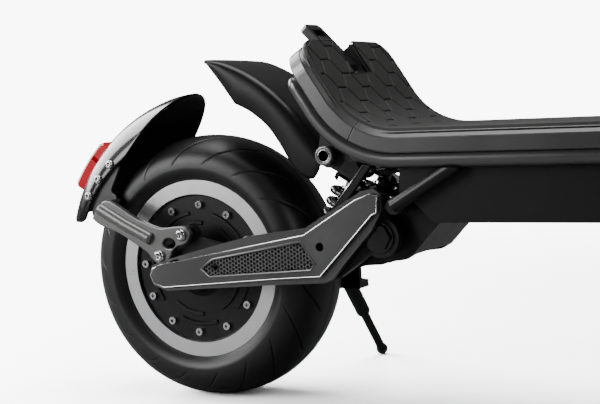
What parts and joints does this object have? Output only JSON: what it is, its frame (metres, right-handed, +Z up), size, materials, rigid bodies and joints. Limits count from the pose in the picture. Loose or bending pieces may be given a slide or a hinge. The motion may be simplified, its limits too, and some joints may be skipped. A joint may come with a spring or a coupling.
{
  "type": "electric kick scooter",
  "caption": "Folding electric kick scooter with sprung swing arm and fork, hub-motor wheels, textured deck with kicked-up tail, tail hook, mudguards and side stand.",
  "frame": {"origin": "centre of the bounding box on the ground under the scooter", "axes": "+X towards the front wheel, +Y to the rider's left, +Z up"},
  "size_m": [1.3144, 0.64, 1.2618],
  "materials": {
    "mat": "matte",
    "frame_black": "satin black",
    "band_grey": "satin graphite",
    "cover_grey": "satin graphite with bright edges",
    "bracket_grey": "satin grey",
    "gloss_black": "gloss black",
    "plastic_black": "matte black",
    "machined": "turned bright metal",
    "bolt_steel": "bright steel",
    "chrome_tube": "polished",
    "copper": "lacquered winding",
    "red_lens": "clear red lens",
    "lamp": "clear lens",
    "tyre": "matte rubber",
    "grip": "soft rubber",
    "cell_wrap": "blue wrap",
    "spring_black": "gloss black"
  },
  "bodies": {
    "chassis": {"deck_frame": "band_grey", "tail_cover": "band_grey", "edge_tubes": "frame_black", "deck_plate": "frame_black", "deck_mat": "mat", "battery_box": "frame_black", "battery_pack": "cell_wrap", "controller": "machined", "pivot_bracket": "frame_black", "frame_tubes": "frame_black", "shock_mount": "frame_black", "frame_pins": "bolt_steel", "inner_mudguard": "gloss_black", "neck_frame": "frame_black", "headlight": "lamp"},
    "hook": {"tail_hook": "cover_grey"},
    "swing_arm": {"rear_arm": "frame_black", "arm_covers": "cover_grey", "honeycomb_panels": "bracket_grey", "arm_bolts": "bolt_steel", "rear_axle": "bolt_steel", "rear_stator": "copper", "mudguard_brackets": "bracket_grey", "rear_mudguard": "gloss_black", "mudguard_screws": "bolt_steel", "tail_light": "red_lens", "rear_brake_caliper": "cover_grey", "stand_bracket": "frame_black", "stand_spring": "bolt_steel"},
    "stand": {"kickstand": "frame_black", "stand_foot": "plastic_black"},
    "rear_wheel": {"rear_tyre": "tyre", "rear_rim": "machined", "rear_hub": "frame_black", "rear_hub_bolts": "bolt_steel", "rear_bearings": "bolt_steel", "rear_brake_disc": "bolt_steel"},
    "shock_upper": {"shock_bodies": "cover_grey", "shock_springs": "spring_black"},
    "shock_lower": {"shock_rods": "chrome_tube"},
    "steering": {"fork_crowns": "frame_black", "fold_base": "cover_grey", "fold_pins": "bolt_steel"},
    "fork_lower": {"fork_legs": "frame_black", "front_axle": "bolt_steel", "front_mudguard": "gloss_black"},
    "front_wheel": {"front_tyre": "tyre", "front_rim": "machined", "front_hub": "frame_black", "front_brake_disc": "bolt_steel"},
    "stem_body": {"stem": "frame_black", "handlebar": "frame_black", "grips": "grip", "lever_mounts": "plastic_black", "throttle_body": "plastic_black", "display": "plastic_black"},
    "lever_left": {"brake_lever_left": "cover_grey"},
    "lever_right": {"brake_lever_right": "cover_grey"},
    "throttle": {"throttle_paddle": "plastic_black"},
    "latch": {"fold_latch": "cover_grey"}
  },
  "joints": [
    {"name": "rear_arm_swing", "type": "hinge", "parent": "chassis", "child": "swing_arm", "pos_m": [-0.26678, 0, 0.178], "axis": [0, 1, 0], "range_deg": [0, 6], "stiffness_Nm_per_rad": 650, "springref_deg": -6.88, "deforming": ["shock_springs"]},
    {"name": "rear_wheel_spin", "type": "hinge", "parent": "swing_arm", "child": "rear_wheel", "pos_m": [-0.49278, 0, 0.14], "axis": [0, 1, 0], "continuous": true},
    {"name": "shock_body_swing", "type": "hinge", "parent": "chassis", "child": "shock_upper", "pos_m": [-0.29878, 0, 0.243], "axis": [0, 1, 0], "range_deg": [0, 2.8]},
    {"name": "shock_rod_swing", "type": "hinge", "parent": "swing_arm", "child": "shock_lower", "pos_m": [-0.33478, 0, 0.17], "axis": [0, 1, 0], "range_deg": [-3.4, 0]},
    {"name": "tail_hook_turn", "type": "hinge", "parent": "chassis", "child": "hook", "pos_m": [-0.33578, 0, 0.353], "axis": [0, 1, 0], "range_deg": [0, 12], "stiffness_Nm_per_rad": 3, "springref_deg": -11.46},
    {"name": "kickstand_fold", "type": "hinge", "parent": "swing_arm", "child": "stand", "pos_m": [-0.38478, 0.092, 0.114], "axis": [0.1687, 0.6115, 0.7731], "range_deg": [0, 79]},
    {"name": "steer", "type": "hinge", "parent": "chassis", "child": "steering", "pos_m": [0.44346, 0, 0.41529], "axis": [-0.2588, 0, 0.9659], "range_deg": [-40, 40]},
    {"name": "fork_travel", "type": "slide", "parent": "steering", "child": "fork_lower", "axis": [-0.2588, 0, 0.9659], "range_m": [0, 0.035], "stiffness_N_per_m": 12000, "springref_m": -0.02},
    {"name": "front_wheel_spin", "type": "hinge", "parent": "fork_lower", "child": "front_wheel", "pos_m": [0.51722, 0, 0.14], "axis": [0, 1, 0], "continuous": true},
    {"name": "stem_fold", "type": "hinge", "parent": "steering", "child": "stem_body", "pos_m": [0.38741, 0, 0.53175], "axis": [0, -1, 0], "range_deg": [0, 80]},
    {"name": "fold_latch_open", "type": "hinge", "parent": "steering", "child": "latch", "pos_m": [0.4455, 0, 0.53903], "axis": [0, 1, 0], "range_deg": [0, 95]},
    {"name": "brake_lever_left_pull", "type": "hinge", "parent": "stem_body", "child": "lever_left", "pos_m": [0.25521, 0.185, 1.23377], "axis": [-0.2588, 0, 0.9659], "range_deg": [0, 14], "stiffness_Nm_per_rad": 2, "springref_deg": -5.73},
    {"name": "brake_lever_right_pull", "type": "hinge", "parent": "stem_body", "child": "lever_right", "pos_m": [0.25521, -0.185, 1.23377], "axis": [0.2588, 0, -0.9659], "range_deg": [0, 14], "stiffness_Nm_per_rad": 2, "springref_deg": -5.73},
    {"name": "throttle_press", "type": "hinge", "parent": "stem_body", "child": "throttle", "pos_m": [0.22623, -0.131, 1.226], "axis": [0, -1, 0], "range_deg": [0, 35], "stiffness_Nm_per_rad": 0.3, "springref_deg": -5.73}
  ],
  "couplings": [
    {"joint": "shock_body_swing", "follows": "rear_arm_swing", "ratio": 0.455},
    {"joint": "shock_rod_swing", "follows": "rear_arm_swing", "ratio": -0.545}
  ]
}
